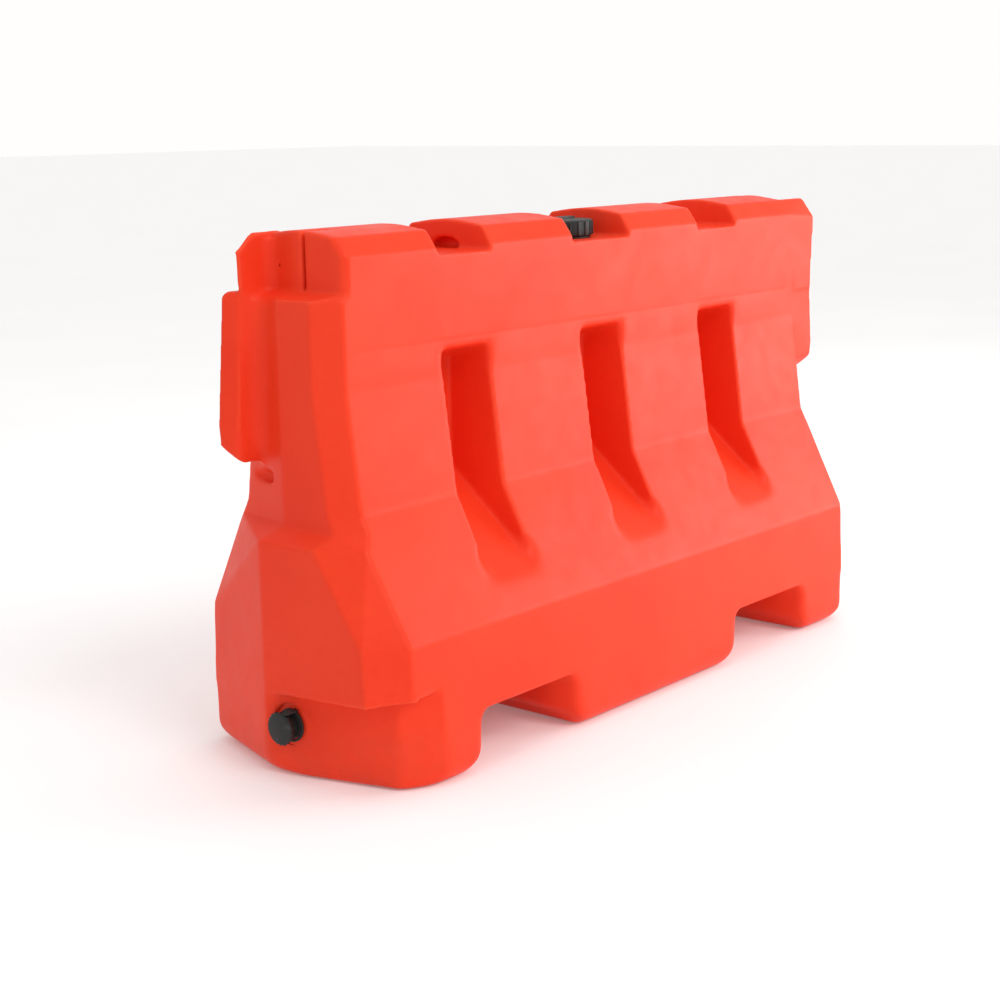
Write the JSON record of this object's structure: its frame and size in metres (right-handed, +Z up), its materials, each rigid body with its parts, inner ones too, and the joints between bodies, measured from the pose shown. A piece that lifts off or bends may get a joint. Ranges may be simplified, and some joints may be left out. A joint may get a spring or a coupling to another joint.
{
  "type": "water-filled traffic barrier",
  "caption": "Hollow plastic Jersey barrier that is filled with water, with fork pockets, end flanges, a screw-on fill lid and a tethered drain cap.",
  "frame": {"origin": "on the ground, under the middle of the barrier", "axes": "+X along the barrier, away from the end with the drain; +Y across it, towards the wall that carries the thin flange of the drain end; +Z up"},
  "size_m": [1.826, 0.5858, 1.073],
  "materials": {
    "shell_plastic": "semi-gloss rotationally moulded polyethylene, red-orange",
    "cap_plastic": "moulded black plastic",
    "seal_rubber": "black rubber"
  },
  "bodies": {
    "shell": {"barrier_shell": "shell_plastic", "fill_neck": "cap_plastic", "drain_fitting": "cap_plastic", "drain_fitting_gasket": "seal_rubber", "drain_fitting_nut": "cap_plastic"},
    "lid_lift": {"fill_lid_gasket": "seal_rubber"},
    "lid": {"fill_lid": "cap_plastic"},
    "cap_pull": {"drain_cap_seal": "seal_rubber"},
    "cap": {"drain_cap": "cap_plastic"},
    "tether": {"drain_cap_tether": "seal_rubber"}
  },
  "joints": [
    {"name": "fill_lid_lift", "type": "slide", "parent": "shell", "child": "lid_lift", "axis": [0, 0, 1], "range_m": [0, 0.12]},
    {"name": "fill_lid_turn", "type": "hinge", "parent": "lid_lift", "child": "lid", "pos_m": [0, 0, 1.04], "axis": [0, 0, 1], "range_deg": [0, 540]},
    {"name": "drain_cap_pull", "type": "slide", "parent": "shell", "child": "cap_pull", "axis": [-1, 0, 0], "range_m": [0, 0.08]},
    {"name": "drain_cap_turn", "type": "hinge", "parent": "cap_pull", "child": "cap", "pos_m": [-0.89, -0.012, 0.11], "axis": [-1, 0, 0], "range_deg": [0, 540]},
    {"name": "drain_tether_swivel", "type": "hinge", "parent": "shell", "child": "tether", "pos_m": [-0.87, -0.012, 0.11], "axis": [1, 0, 0], "range_deg": [-170, 170]}
  ]
}
